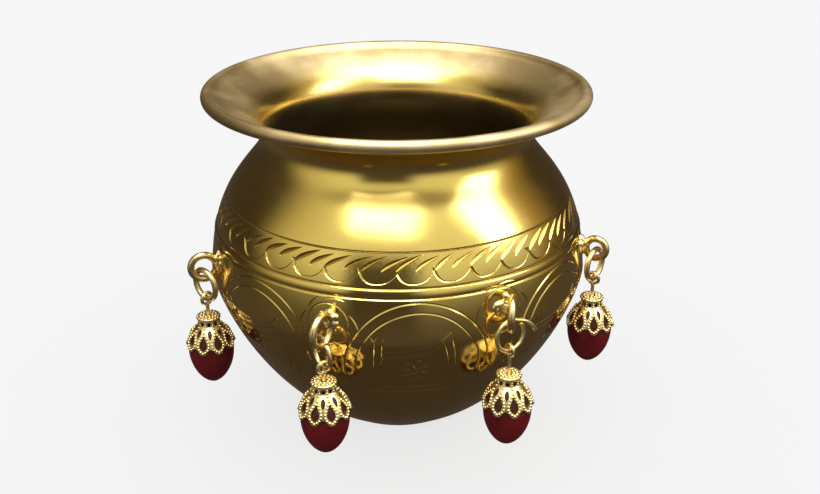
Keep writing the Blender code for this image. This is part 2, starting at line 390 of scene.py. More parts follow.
def place_flat(points, azimuth, s_centre):
    """Flat drawing points (x right, y up, metres) wrapped on the pot about a centre."""
    drawn = np.array(points, float)
    s = s_centre + drawn[:, 1]
    return np.stack([azimuth + drawn[:, 0] / outline_at(s)[0], s], axis=1)


def wobbly_circle(radius, steps, phase):
    a = np.linspace(0, 2 * pi, steps, endpoint=False)
    r = radius * (1 + 0.006 * np.sin(2 * a + phase) + 0.004 * np.sin(5 * a + 2 * phase))
    return np.stack([r * np.cos(a), r * np.sin(a)], axis=1)


def even_line(points, spacing=0.9 * MM):
    """A smooth line through a few points, sampled evenly."""
    rough = np.array(points, float)
    length = np.linalg.norm(np.diff(rough, axis=0), axis=1).sum()
    return smooth_curve(rough, max(4, int(length / spacing)))


def roundel_cuts(azimuth, phase):
    """A double circle round a double cartouche with a blossom in it."""
    centre = along_at_height(RIDGE_HEIGHTS[1]) - 0.8 * MM - ROUNDEL_RADIUS
    cuts = []

    def add(points, half, depth, closed=False):
        cuts.append(Cut(place_flat(points, azimuth, centre), half, depth, closed))

    add(wobbly_circle(ROUNDEL_RADIUS, 110, phase), 0.27 * MM, 0.13 * MM, True)
    add(wobbly_circle(ROUNDEL_INNER_RADIUS, 96, phase + 1), 0.25 * MM, 0.11 * MM, True)
    for left, right, bottom, sag, corner in CARTOUCHES:
        top_right = (right - 1.1, corner)
        lines = (
            [(left, CARTOUCHE_LEFT_TOP), (left - 0.15, 0), (left, bottom)],
            [(left + 0.3, sag), (left * 0.35, sag + 0.5), (right * 0.55, corner - 1.9), top_right],
            [top_right, (right, 2.6), (right + 0.2, -2.4), (right - 0.9, bottom)],
            [(left, bottom), (0, bottom - 0.3), (right - 0.9, bottom)],
        )
        for line in lines:
            add(even_line([(x * MM, y * MM) for x, y in line]), 0.2 * MM, 0.1 * MM)
    heart = np.array(BLOSSOM_CENTRE)
    half_petal = 0.62
    for k in range(6):
        turn = radians(60 * k + 12)
        a = np.linspace(-half_petal, half_petal, 15)
        reach = BLOSSOM_REACH * np.cos(a / half_petal * pi / 2) ** 0.55
        petal = heart + np.stack([reach * np.cos(a + turn), reach * np.sin(a + turn)], 1)
        add(petal[1:-1], 0.17 * MM, 0.09 * MM)
    add(wobbly_circle(0.8 * MM, 12, 0) + heart, 0.12 * MM, 0.075 * MM, True)
    return cuts


def lug_cuts(eye):
    """An arch over the foot of the lug with this eye, with small drooping petals round it."""
    azimuth = azimuth_of(eye)
    centre = along_at_height(eye.z)
    cuts = []

    def add(start, sweep_by, near, far, half):
        t = np.linspace(0, 1, 15)
        turn = np.radians(start + sweep_by * t)
        reach = (near + (far - near) * t**0.8) * MM
        petal = np.stack([reach * np.cos(turn), reach * np.sin(turn)], axis=1)
        wide = half * MM * leaf_profile(t, 0.45)
        cuts.append(Cut(place_flat(petal, azimuth, centre), wide, 0.55 * wide))

    add(200, -215, 4.7, 4.3, 0.24)
    for start, sweep_by, near, far in (
        (28, -46, 4.9, 6.9), (-14, -40, 4.2, 6.6), (152, 46, 4.9, 6.9), (194, 40, 4.2, 6.6),
        (100, -44, 5.2, 6.2), (150, -40, 5.2, 6.0),
    ):
        add(start, sweep_by, near, far, 0.26)
    return cuts


def all_cuts():
    """The band, a roundel midway between each two neighbouring lugs, and the petals round the lugs."""
    cuts = band_cuts()
    eyes = [lug_size(number)[0] for number in PENDANTS]
    around = sorted(azimuth_of(eye) for eye in eyes)
    for k, (azimuth, after) in enumerate(zip(around, around[1:] + [around[0] + 2 * pi])):
        cuts += roundel_cuts((azimuth + after) / 2, phase=0.9 * k)
    for eye in eyes:
        cuts += lug_cuts(eye)
    return cuts


def ridge_relief(s):
    """How far the turned lines and the ridge stand out of the plain outline, or sink into it."""
    def line(height, half, depth):
        return -depth * np.clip(1 - np.abs(s - along_at_height(height)) / half, 0, 1)

    upper, lower = (along_at_height(h) for h in RIDGE_HEIGHTS)
    middle, reach = (upper + lower) / 2, (upper - lower) / 2
    swell = np.clip(1 - ((s - middle) / reach) ** 2, 0, 1)
    relief = 0.16 * MM * swell
    for height, half, depth in (
        (TOP_LINE_HEIGHT, 0.2 * MM, 0.14 * MM),
        (RIDGE_HEIGHTS[0], 0.24 * MM, 0.16 * MM),
        (RIDGE_HEIGHTS[1], 0.24 * MM, 0.16 * MM),
    ):
        relief = relief + line(height, half, depth)
    return relief


def engraved_rows():
    """Distances along the outline of the mesh's rows in the engraved part."""
    low, high = (along_at_height(h) for h in ENGRAVED_HEIGHTS)
    rows = set(np.linspace(low, high, 37))
    lines = [along_at_height(h) for h in (TOP_LINE_HEIGHT, *RIDGE_HEIGHTS)]
    keep = [s for s in rows if min(abs(s - line) for line in lines) > 0.7 * MM or s in (low, high)]
    for line in lines:
        keep += [line - 0.5 * MM, line - 0.24 * MM, line, line + 0.24 * MM, line + 0.5 * MM]
    upper, lower = lines[1], lines[2]
    keep += [lower + (upper - lower) * share for share in (0.36, 0.5, 0.64)]
    return sorted(set(round(s, 8) for s in keep if low - 1e-9 <= s <= high + 1e-9))


def groove_depths(points, cuts):
    """Depth of the deepest groove at each (azimuth, distance) point."""
    samples, halves, depths = [], [], []
    for cut in cuts:
        line = np.vstack([cut.points, cut.points[:1]]) if cut.closed else cut.points
        half = np.append(cut.half, cut.half[0]) if cut.closed else cut.half
        depth = np.append(cut.depth, cut.depth[0]) if cut.closed else cut.depth
        for i in range(len(line) - 1):
            step = line[i + 1] - line[i]
            length = hypot(step[0] * BELLY_RADIUS, step[1])
            for share in np.arange(0, 1, 0.05 * MM / max(length, 0.05 * MM)):
                samples.append(line[i] + share * step)
                halves.append(half[i] + share * (half[i + 1] - half[i]))
                depths.append(depth[i] + share * (depth[i + 1] - depth[i]))
        samples.append(line[-1])
        halves.append(half[-1])
        depths.append(depth[-1])
    samples = np.array(samples)
    radius = outline_at(samples[:, 1])[0]
    tree = kdtree.KDTree(len(samples))
    for i, (azimuth, s) in enumerate(samples):
        tree.insert((azimuth * BELLY_RADIUS, s, 0), i)
    tree.balance()
    found = np.zeros(len(points))
    for n, (azimuth, s) in enumerate(points):
        for _, i, _ in tree.find_range((azimuth * BELLY_RADIUS, s, 0), 0.62 * MM):
            away = hypot((azimuth - samples[i, 0]) * radius[i], s - samples[i, 1])
            if away < halves[i]:
                found[n] = max(found[n], depths[i] * (1 - away / halves[i]))
    return found


def engraved_zone(cuts):
    """Triangulates the engraved part of the outside, unrolled: points, triangles and groove depths."""
    seam = -pi
    points, edges = [], []

    def add(line, closed=False, joined=True):
        start = len(points)
        points.extend((p[0] * BELLY_RADIUS, p[1]) for p in line)
        if joined:
            count = len(line)
            edges.extend((start + i, start + i + 1) for i in range(count - 1))
            if closed:
                edges.append((start + count - 1, start))

    rows = engraved_rows()
    step = 2 * pi / COLUMNS
    grooved = [along_at_height(h) for h in (TOP_LINE_HEIGHT, *RIDGE_HEIGHTS)]
    for azimuth in (seam, seam + 2 * pi):
        add([(azimuth, s) for s in rows])
    for n, s in enumerate(rows):
        edge_row = n in (0, len(rows) - 1)
        near_line = min(abs(s - line) for line in grooved) < 0.6 * MM
        shift = 0 if edge_row or near_line or n % 2 == 0 else 0.5
        inside = [(seam + (k + shift) * step, s) for k in range(0 if shift else 1, COLUMNS)]
        if edge_row or near_line:
            inside = [(seam, s), *inside, (seam + 2 * pi, s)]
        add(inside, joined=edge_row or near_line)
    wrapped = []
    for cut in cuts:
        for turn in (-2 * pi, 0, 2 * pi):
            moved = cut.moved(turn)
            if (abs(moved.points[:, 0]) < pi + 0.02).any():
                wrapped.append(moved)
    for cut in wrapped:
        for line in cut.edges():
            add(line, cut.closed)
    found, _, faces, *_ = geometry.delaunay_2d_cdt([Vector(p) for p in points], edges, [], 0, 1e-7)
    flat = np.array([tuple(p) for p in found])
    triangles = np.array([f for f in faces if len(f) == 3])
    middles = flat[triangles].mean(axis=1)
    between_seams = np.abs(middles[:, 0]) < pi * BELLY_RADIUS
    triangles = triangles[between_seams & (middles[:, 1] > rows[0]) & (middles[:, 1] < rows[-1])]
    used, index = np.unique(triangles, return_inverse=True)
    place = np.stack([flat[used, 0] / BELLY_RADIUS, flat[used, 1]], axis=1)
    return place, index.reshape(-1, 3), groove_depths(place, wrapped)


def surface_points(azimuth, s, depth):
    """Points of the pot's outside with the ridge and cuts, and its smooth normals without the cuts."""
    radius, height, out, up = outline_at(s)
    lift = ridge_relief(s) - depth
    step = 0.04 * MM
    slope = (ridge_relief(s + step) - ridge_relief(s - step)) / (2 * step)
    across = np.stack([np.sin(azimuth), -np.cos(azimuth), np.zeros_like(azimuth)], axis=1)
    upright = np.array([0, 0, 1.0])
    plain = across * out[:, None] + upright * up[:, None]
    along = across * -up[:, None] + upright * out[:, None]
    normal = plain - along * slope[:, None]
    normal /= np.linalg.norm(normal, axis=1)[:, None]
    base = across * radius[:, None] + upright * height[:, None]
    return base + plain * lift[:, None], normal


def plain_outline_parts():
    """The pot's section above the engraved part, over the lip and down inside, and its section below it."""
    s_low, s_high = (along_at_height(h) for h in ENGRAVED_HEIGHTS)
    flare = OUTLINE[:, 1] > 74 * MM
    s_lip = float(np.interp(LIP_REACH - LIP_ROOT, OUTLINE[flare, 0], OUTLINE_S[flare]))
    up_s = np.linspace(s_high, s_lip, 46)
    radius, height, _, _ = outline_at(up_s)
    upper = list(zip(radius, height))
    lip = [
        (
            LIP_REACH - LIP_RADIUS * (1 - cos(radians(a))),
            LIP_TOP - LIP_RADIUS * (1 - sin(radians(a))),
        )
        for a in np.linspace(-148, 152, 24)
    ]
    inner_s = np.linspace(s_lip, OUTLINE_S[0] + 1.5 * MM, 90)
    radius, height, out, upward = outline_at(inner_s)
    inner = [(r - WALL * o, h - WALL * u) for r, h, o, u in zip(radius, height, out, upward)]
    inner = [p for p in inner if p[1] > WALL + 1.2 * MM]
    corner_radius = inner[-1][0]
    bottom = [(corner_radius - 1.3 * MM, WALL + 0.55 * MM), (corner_radius - 3.2 * MM, WALL + 0.12 * MM)]
    inside = [*inner, *bottom, (corner_radius - 6 * MM, WALL), (4 * MM, WALL), (0, WALL)]
    down_s = np.linspace(s_low, OUTLINE_S[0], 14)
    radius, height, _, _ = outline_at(down_s)
    under = list(zip(radius, height))
    edge_radius, edge_height = under[-1]
    under += [
        (BASE_RADIUS + (edge_radius - BASE_RADIUS) * 0.55, edge_height * 0.3),
        (BASE_RADIUS - 0.2 * MM, 0.02 * MM), (BASE_RADIUS - 1.2 * MM, 0), (6 * MM, 0), (0, 0),
    ]
    return [*upper, *lip, *inside], under


def build_bowl():
    place, triangles, depths = engraved_zone(all_cuts())
    points, normals = surface_points(place[:, 0], place[:, 1], depths)
    sunk = depths + np.clip(-ridge_relief(place[:, 1]), 0, None)
    shapes = [([tuple(p) for p in points], [tuple(t) for t in triangles])]
    shapes += [turned(line, COLUMNS) for line in plain_outline_parts()]
    verts, faces = join(shapes)
    mesh = bpy.data.meshes.new("pot")
    mesh.from_pydata(verts, [], faces)
    work = bmesh.new()
    work.from_mesh(mesh)
    cut_layer = work.verts.layers.float.new("cut")
    work.verts.ensure_lookup_table()
    for i, depth in enumerate(sunk):
        work.verts[i][cut_layer] = depth
    bmesh.ops.remove_doubles(work, verts=work.verts, dist=2e-6)
    bmesh.ops.recalc_face_normals(work, faces=work.faces)
    # Marks the pot's inner surface, which the brass material darkens with painted shade.
    inside_layer = work.verts.layers.float.new("inside")
    for vertex in work.verts:
        x, y, z = vertex.co
        outside = np.interp(z, OUTLINE[:, 1], OUTLINE[:, 0])
        vertex[inside_layer] = float(hypot(x, y) < outside - 0.6 * MM and 0.5 * MM < z < 79 * MM)
    work.to_mesh(mesh)
    work.free()
    mesh.shade_smooth()
    set_bowl_normals(mesh, normals, np.array([tuple(p) for p in points]))
    return link("pot", mesh)


def set_bowl_normals(mesh, normals, points):
    """Smooth normals from the turned shape on plain metal, and flat ones on the walls of the cuts."""
    count = len(mesh.vertices)
    cut = np.zeros(count, np.float32)
    mesh.attributes["cut"].data.foreach_get("value", cut)
    own = np.zeros(count * 3, np.float32)
    mesh.vertex_normals.foreach_get("vector", own)
    own = own.reshape(-1, 3)
    tree = kdtree.KDTree(len(points))
    for i, point in enumerate(points):
        tree.insert(point, i)
    tree.balance()
    plain = own.copy()
    low, high = ENGRAVED_HEIGHTS
    for vertex in mesh.vertices:
        z = vertex.co.z
        if not low < z < high or hypot(vertex.co.x, vertex.co.y) < 20 * MM:
            continue
        _, i, away = tree.find(vertex.co)
        if away < 0.05 * MM:
            plain[vertex.index] = normals[i]
    loops = np.zeros((len(mesh.loops), 3), np.float32)
    for polygon in mesh.polygons:
        in_cut = max(cut[v] for v in polygon.vertices) > 1e-6
        for loop, vertex in zip(polygon.loop_indices, polygon.vertices):
            loops[loop] = polygon.normal if in_cut else plain[vertex]
    mesh.normals_split_custom_set([tuple(n) for n in loops])


# ---------------------------------------------------------------- materials


class Nodes:
    """Short ways to add and join shader nodes in one material or world."""

    def __init__(self, owner):
        owner.use_nodes = True
        self.owner = owner
        self.tree = owner.node_tree
        self.shader = self.tree.nodes.get("Principled BSDF")

    def add(self, kind, inputs=None, **settings):
        node = self.tree.nodes.new(kind)
        for key, value in settings.items():
            setattr(node, key, value)
        self.fill(node, inputs or {})
        return node

    def fill(self, node, inputs):
        """Links or sets inputs of a node, which are named or numbered."""
        for key, value in inputs.items():
            if isinstance(value, bpy.types.NodeSocket):
                self.tree.links.new(value, node.inputs[key])
            else:
                node.inputs[key].default_value = value

    def noise(self, vector, scale, detail=3, roughness=0.55):
        inputs = {"Vector": vector, "Scale": scale, "Detail": detail, "Roughness": roughness}
        return self.add("ShaderNodeTexNoise", inputs).outputs["Fac"]

    def math(self, operation, a, b=0.5):
        return self.add("ShaderNodeMath", {0: a, 1: b}, operation=operation).outputs[0]

    def fit(self, value, low, high, to_low=0.0, to_high=1.0):
        """Maps low..high to to_low..to_high, with soft ends."""
        inputs = {"Value": value, "From Min": low, "From Max": high, "To Min": to_low, "To Max": to_high}
        node = self.add("ShaderNodeMapRange", inputs, interpolation_type="SMOOTHSTEP")
        return node.outputs["Result"]

    def mix(self, share, a, b):
        node = self.add("ShaderNodeMix", {"Factor": share}, data_type="RGBA")
        self.fill(node, {6: a, 7: b})
        return node.outputs[2]

    def bump(self, height, distance, strength, normal=None):
        inputs = {"Height": height, "Distance": distance, "Strength": strength}
        if normal is not None:
            inputs["Normal"] = normal
        return self.add("ShaderNodeBump", inputs).outputs["Normal"]

    def stretched(self, vector, scale):
        return self.add("ShaderNodeMapping", {"Vector": vector, "Scale": scale}).outputs["Vector"]


def pot_brass():
    """Turned brass: satin on the shoulder, polished below, matt and browner at the mouth, matt inside and
    darkened there by painted shade.
    """
    n = Nodes(bpy.data.materials.new("pot_brass"))
    place = n.add("ShaderNodeTexCoord").outputs["Object"]
    split = n.add("ShaderNodeSeparateXYZ", {"Vector": place})
    x, y, z = (split.outputs[k] for k in "XYZ")
    radius = n.math("SQRT", n.math("ADD", n.math("MULTIPLY", x, x), n.math("MULTIPLY", y, y)))
    turn = n.math("ARCTAN2", x, y)
    round_pot = n.add(
        "ShaderNodeCombineXYZ", {"X": n.math("MULTIPLY", turn, 0.012), "Y": radius, "Z": z}
    ).outputs["Vector"]
    cloud = n.noise(place, 55, 4)
    patch = n.noise(place, 21, 2)
    grain = n.noise(place, 2600, 3, 0.7)
    lathe = n.noise(round_pot, 4200, 2, 0.7)
    marks = n.noise(n.stretched(place, (1, 1, 0.35)), 700, 4, 0.75)

    # Where the surface is: on the flare and lip, inside (where shade is painted), or in a cut.
    mouth = n.fit(z, 73.5 * MM, 77.5 * MM)
    within = n.add("ShaderNodeAttribute", attribute_name="inside").outputs["Fac"]
    inside = n.math("MULTIPLY", within, n.fit(z, 67 * MM, 74.5 * MM, 1, 0))
    cut = n.fit(n.add("ShaderNodeAttribute", attribute_name="cut").outputs["Fac"], 0.01 * MM, 0.12 * MM)
    rim = n.math("MAXIMUM", mouth, inside)

    clean = n.mix(n.fit(patch, 0.35, 0.65), (0.84, 0.625, 0.175, 1), (0.88, 0.665, 0.215, 1))
    tired = n.mix(n.fit(cloud, 0.35, 0.7), (0.47, 0.34, 0.17, 1), (0.82, 0.66, 0.40, 1))
    colour = n.mix(n.math("MULTIPLY", rim, 0.85), clean, tired)
    # Painted shade: the inside of the pot, below the neck, is darkened to a near-black brown.
    colour = n.mix(n.math("MULTIPLY", inside, 0.8), colour, (0.13, 0.105, 0.06, 1))
    colour = n.mix(n.math("MULTIPLY", cut, 0.35), colour, (0.34, 0.21, 0.06, 1))

    height_gloss = n.fit(z, 46 * MM, 64 * MM, 0.115, 0.205)
    gloss = n.math("ADD", height_gloss, n.fit(cloud, 0.35, 0.75, -0.02, 0.06))
    gloss = n.math("ADD", gloss, n.fit(marks, 0.55, 0.8, 0, 0.07))
    gloss = n.math("ADD", gloss, n.math("MULTIPLY", rim, 0.24))
    gloss = n.math("ADD", gloss, n.math("MULTIPLY", cut, 0.1))

    waves = n.bump(patch, 0.35 * MM, 0.5)
    rings = n.bump(lathe, 0.006 * MM, 0.5, waves)
    fine = n.bump(grain, 0.04 * MM, n.fit(rim, 0, 1, 0.08, 1.0), rings)
    n.fill(n.shader, {"Base Color": colour, "Metallic": 1, "Roughness": gloss, "Normal": fine})
    return n.owner


def gilt_metal(name, colour, worn, rough):
    """Yellow gilding with slight stains and tiny marks."""
    n = Nodes(bpy.data.materials.new(name))
    place = n.add("ShaderNodeTexCoord").outputs["Object"]
    cloud = n.noise(place, 260, 3)
    marks = n.noise(place, 3000, 3, 0.7)
    n.fill(n.shader, {
        "Base Color": n.mix(n.fit(cloud, 0.4, 0.72), colour, worn),
        "Metallic": 1,
        "Roughness": n.fit(marks, 0.3, 0.8, rough - 0.06, rough + 0.1),
        "Normal": n.bump(marks, 0.02 * MM, 0.35),
    })
    return n.owner


def garnet():
    """Dark red glass with a soft, slightly waxy polish, and painted shade under its cap."""
    n = Nodes(bpy.data.materials.new("garnet"))
    place = n.add("ShaderNodeTexCoord").outputs["Object"]
    cloud = n.noise(place, 170, 3)
    marks = n.noise(place, 1500, 3, 0.7)
    red = n.mix(n.fit(cloud, 0.35, 0.7), (0.052, 0.0008, 0.0014, 1), (0.088, 0.0014, 0.0024, 1))
    depth = n.add("ShaderNodeSeparateXYZ", {"Vector": place}).outputs["Z"]
    # Painted shade and painted reflection: the top of the bead, under the cap, is darker and tinted brown
    # by the gilding.
    shade_under_cap = n.fit(depth, -8.3 * MM, -6.8 * MM)  # where the cap's gilding is reflected on the bead
    n.fill(n.shader, {
        "Base Color": n.mix(shade_under_cap, red, (0.036, 0.009, 0.0012, 1)),
        "Roughness": n.fit(marks, 0.3, 0.75, 0.30, 0.42),
        "Specular IOR Level": 0.28,
        "Normal": n.bump(cloud, 0.2 * MM, 0.25),
    })
    return n.owner


def floor_paint():
    """Pale matt paint that glows a little, so that the pot's shadow on it stays faint."""
    n = Nodes(bpy.data.materials.new("floor_paint"))
    n.fill(n.shader, {
        "Base Color": (0.19, 0.19, 0.19, 1), "Roughness": 1, "Specular IOR Level": 0,
        "Emission Color": (1, 1, 1, 1), "Emission Strength": 0.75,
    })
    return n.owner


# ---------------------------------------------------------------- findings


def remeshed(obj, voxel, smooth_steps):
    """Makes overlapping shapes in one object into one closed skin, softened where they meet."""
    modifier = obj.modifiers.new("skin", "REMESH")
    modifier.mode = "VOXEL"
    modifier.voxel_size = voxel
    soften = obj.modifiers.new("soften", "SMOOTH")
    soften.iterations = smooth_steps
    soften.factor = 0.5
    graph = bpy.context.evaluated_depsgraph_get()
    mesh = bpy.data.meshes.new_from_object(obj.evaluated_get(graph))
    obj.modifiers.clear()
    obj.data = mesh
    mesh.shade_smooth()


def build_lug(number, material):
    """A round wire loop with a lump of solder at its foot."""
    centre, loop_radius = lug_size(number)
    out = Vector(JOINTS[f"ring_swing_{number}"]["axis"]).normalized()
    up = Vector((0, 0, 1))
    away = outward(azimuth_of(centre))
    side = up.cross(away)
    surface = outline_at(np.array([along_at_height(centre.z)]))[0][0]
    touch = away * surface + up * centre.z
    angles = np.linspace(0, 2 * pi, 72, endpoint=False)
    loop = [centre + loop_radius * (cos(a) * out + sin(a) * up) for a in angles]
    lumpy = Random(40 + number)
    shapes = [sweep(loop, LUG_WIRE_RADIUS * 0.98, 18, closed=True)]
    for _ in range(30):
        a, reach = lumpy.uniform(0, 2 * pi), lumpy.uniform(0, 1) ** 0.6
        lump = touch + side * (cos(a) * reach * 2.0 * MM) + up * ((sin(a) * reach * 2.5 + 0.3) * MM)
        lump += away * (0.4 - 1.1 * reach) * MM
        shapes.append(ball(lump, lumpy.uniform(0.75, 1.05) * MM, 8, 14))
    obj = link(f"lug_{number}_soldered", make_mesh("lug", join(shapes)))
    remeshed(obj, 0.15 * MM, 6)
    obj.data.materials.append(material)
    return obj


def drop_place(number):
    """(middle of the ring's wire where the drop hangs, unit vector along the wire there)."""
    joint = JOINTS[f"drop_swing_{number}"]
    return Vector(joint["pos_m"]), Vector(joint["axis"]).normalized()


def ring_size(number):
    """(radius of the ring's loop, radius of its wire) from the CAD ring."""
    low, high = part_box(f"jump_ring_{number}")
    wire = drop_place(number)[0].z - low.z
    return (high.z - low.z) / 2 - wire, wire


def build_jump_ring(number, material):
    """Round wire bent nearly into a ring, its two cut ends a little apart."""
    loop, wire = ring_size(number)
    bottom, along = drop_place(number)
    centre = bottom + Vector((0, 0, loop))
    up = Vector((0, 0, 1))
    across = along.cross(up)
    gap = RING_CUT / loop
    cut_at = radians(55 if number % 2 else 125)
    t = np.linspace(0, 1, 90)
    angles = cut_at + gap / 2 + (2 * pi - gap) * t
    tilt = 0.3 * MM * (t - 0.5)
    reach = np.full_like(t, loop)
    if number == SPRUNG_RING:  # more than a full turn, with its last stretch bent out and sideways
        angles = radians(150) + radians(392) * t
        reach = loop + 2.3 * MM * np.clip((t - 0.83) / 0.17, 0, 1) ** 1.25
        tilt = 0.4 * MM * np.clip(1 - t / 0.2, 0, 1) - 0.75 * MM * np.clip((t - 0.8) / 0.15, 0, 1)
    path = [
        centre + along * (r * cos(a)) + up * (r * sin(a)) + across * w
        for a, r, w in zip(angles, reach, tilt)
    ]
    radii = np.full(len(path), wire)
    radii[0] = radii[-1] = wire * 0.8
    obj = link(f"jump_ring_{number}_wire", make_mesh("ring", sweep(path, radii, 18), sharp=40))
    obj.data.materials.append(material)
    return obj


def bead_radius(depth):
    if depth <= BEAD_WIDEST:
        share = (BEAD_WIDEST - depth) / (BEAD_WIDEST - BEAD_TOP)
        return BEAD_RADIUS * max(0, 1 - share**1.8) ** (1 / 1.7)
    share = (depth - BEAD_WIDEST) / (BEAD_TIP - BEAD_WIDEST)
    return BEAD_RADIUS * max(0, 1 - share**2) ** 0.6


def bead_shape():
    """The solid bead with the blind hole for its pin, as a turned shape."""
    steps = 34
    below = [BEAD_TIP - (BEAD_TIP - BEAD_WIDEST) * (1 - cos(pi / 2 * i / steps)) for i in range(1, steps)]
    above = [BEAD_TOP + (BEAD_WIDEST - BEAD_TOP) * cos(pi / 2 * i / steps) for i in range(steps)]
    hole = PIN_RADIUS + 0.1 * MM
    outline = [(0, -BEAD_TIP)]
    outline += [(bead_radius(d), -d) for d in below + above if bead_radius(d) > hole]
    outline += [(hole, -BEAD_TOP - 0.02 * MM), (hole, -PIN_HOLE_FOOT), (0, -PIN_HOLE_FOOT)]
    return turned(outline, 56)


def cap_radius(depth):
    """Outside radius of the cap's wall at a depth: a short stem, then a bell on the bead."""
    on_bead = bead_radius(depth) + CAP_STANDS_OFF if depth > BEAD_TOP else 0
    return (on_bead**12 + CAP_STEM_RADIUS**12) ** (1 / 12)


def cap_holes():
    """Outlines of the openings in the cap's wall: (angle, depth) points."""
    holes = []
    pitch = 2 * pi / CAP_PETALS

    def drop(angle, top, bottom, wide, fattest):
        t = np.linspace(0, 1, 9)
        depth = top + (bottom - top) * t
        half = 0.5 * wide * np.sin(pi * t ** (np.log(0.5) / np.log(fattest))) ** 0.75
        near = np.array([cap_radius(d) for d in depth])
        right = np.stack([angle + half / near, depth], axis=1)
        left = np.stack([angle - half / near, depth], axis=1)[-2:0:-1]
        holes.append(np.vstack([right, left]))

    for k in range(CAP_PETALS):  # one opening in each petal, and two in the valley beside it
        drop(k * pitch, 3.75 * MM, 7.0 * MM, 1.85 * MM, 0.60)
        drop((k + 0.5) * pitch, 2.7 * MM, 4.6 * MM, 0.95 * MM, 0.4)
        drop((k + 0.5) * pitch, 1.15 * MM, 2.3 * MM, 0.75 * MM, 0.5)
    return holes


def cap_edge(angle):
    """Depth of the cap's scalloped lower edge."""
    phase = (angle * CAP_PETALS / (2 * pi)) % 1
    return CAP_HEIGHT - 1.4 * MM * abs(sin(pi * phase)) ** 2.4


def on_cap(angle, depth, lift=0.0):
    reach = cap_radius(depth) + lift
    return (reach * sin(angle), -reach * cos(angle), -depth)


def cap_wall():
    """The pierced bell as a thin closed shell, cut out flat and wrapped on the bead."""
    scale = 4.4 * MM  # radius that the flat pattern is unrolled at
    top = 0.9 * MM
    points, edges = [], []

    def add(line, closed):
        start = len(points)
        points.extend((a * scale, d) for a, d in line)
        edges.extend((start + i, start + i + 1) for i in range(len(line) - 1))
        if closed:
            edges.append((start + len(line) - 1, start))

    columns = CAP_PETALS * 12
    angles = np.linspace(-pi / CAP_PETALS, 2 * pi - pi / CAP_PETALS, columns + 1)
    edge = [(a, cap_edge(a)) for a in angles]
    rows = np.linspace(top, 6.6 * MM, 15)  # down to the tops of the scallops
    left = [(angles[0], d) for d in rows] + [edge[0]]
    right = [(angles[-1], d) for d in rows] + [edge[-1]]
    add(edge, False)
    add([(a, top) for a in angles], False)
    add(left, False)
    add(right, False)
    holes = cap_holes()
    for n, d in enumerate(rows[1:-1]):
        shift = 0.5 * (n % 2)
        inner = angles[0] + (np.arange(0 if shift else 1, columns // 2) + shift) * (4 * pi / columns)
        points.extend((a * scale, d) for a in inner)
    for hole in holes:
        for turn in (-2 * pi, 0, 2 * pi):
            moved = hole + (turn, 0)
            if (moved[:, 0] > angles[0] - 0.01).all() and (moved[:, 0] < angles[-1] + 0.01).all():
                add(moved, True)
    found, _, faces, *_ = geometry.delaunay_2d_cdt([Vector(p) for p in points], edges, [], 0, 1e-7)
    flat = np.array([tuple(p) for p in found])
    kept = []
    for face in faces:
        middle = flat[list(face)].mean(axis=0)
        angle, depth = middle[0] / scale, middle[1]
        if not angles[0] < angle < angles[-1] or depth < top or depth > cap_edge(angle):
            continue
        if any(inside_outline(hole, angle, depth) for hole in holes):
            continue
        kept.append(tuple(face))
    verts = [on_cap(p[0] / scale, p[1]) for p in flat]
    mesh = bpy.data.meshes.new("cap_wall")
    mesh.from_pydata(verts, [], kept)
    work = bmesh.new()
    work.from_mesh(mesh)
    bmesh.ops.delete(work, geom=[v for v in work.verts if not v.link_faces], context="VERTS")
    bmesh.ops.remove_doubles(work, verts=work.verts, dist=4e-6)
    bmesh.ops.recalc_face_normals(work, faces=work.faces)
    work.to_mesh(mesh)
    work.free()
    obj = link("cap_wall_sheet", mesh)
    wall = obj.modifiers.new("wall", "SOLIDIFY")
    wall.thickness = CAP_WALL
    wall.offset = -1
    graph = bpy.context.evaluated_depsgraph_get()
    solid = bpy.data.meshes.new_from_object(obj.evaluated_get(graph))
    shape = [tuple(v.co) for v in solid.vertices], [tuple(p.vertices) for p in solid.polygons]
    bpy.data.objects.remove(obj)
    return shape


def inside_outline(outline, angle, depth):
    """Whether a point lies in a closed outline, whichever turn it is written at."""
    a, d = outline[:, 0], outline[:, 1]
    if depth < d.min() or depth > d.max():
        return False
    middle = (a.min() + a.max()) / 2
    angle = middle + (angle - middle + pi) % (2 * pi) - pi
    if angle < a.min() or angle > a.max():
        return False
    b, e = np.roll(a, -1), np.roll(d, -1)
    crosses = (d > depth) != (e > depth)
    at = a + (b - a) * (depth - d) / np.where(e == d, 1, e - d)
    return bool((crosses & (angle < at)).sum() % 2)


def granules_round_petal(angle):
    """Places of the granules along one petal's teardrop outline, as (angle, depth)."""
    top, tall, half_wide = 3.3 * MM, 4.15 * MM, 1.33 * MM
    t = np.linspace(0, 1, 60)
    depth = top + tall * t
    half = half_wide * np.sin(pi * t ** (np.log(0.5) / np.log(0.62))) ** 0.7
    line = np.concatenate([np.stack([half, depth], 1), np.stack([-half, depth], 1)[-2:0:-1]])
    loop = np.vstack([line, line[:1]])
    run = np.concatenate([[0], np.cumsum(np.linalg.norm(np.diff(loop, axis=0), axis=1))])
    places = np.arange(PETAL_GRANULES) / PETAL_GRANULES * run[-1]
    x, d = np.interp(places, run, loop[:, 0]), np.interp(places, run, loop[:, 1])
    return [(angle + xx / cap_radius(dd), dd) for xx, dd in zip(x, d)]


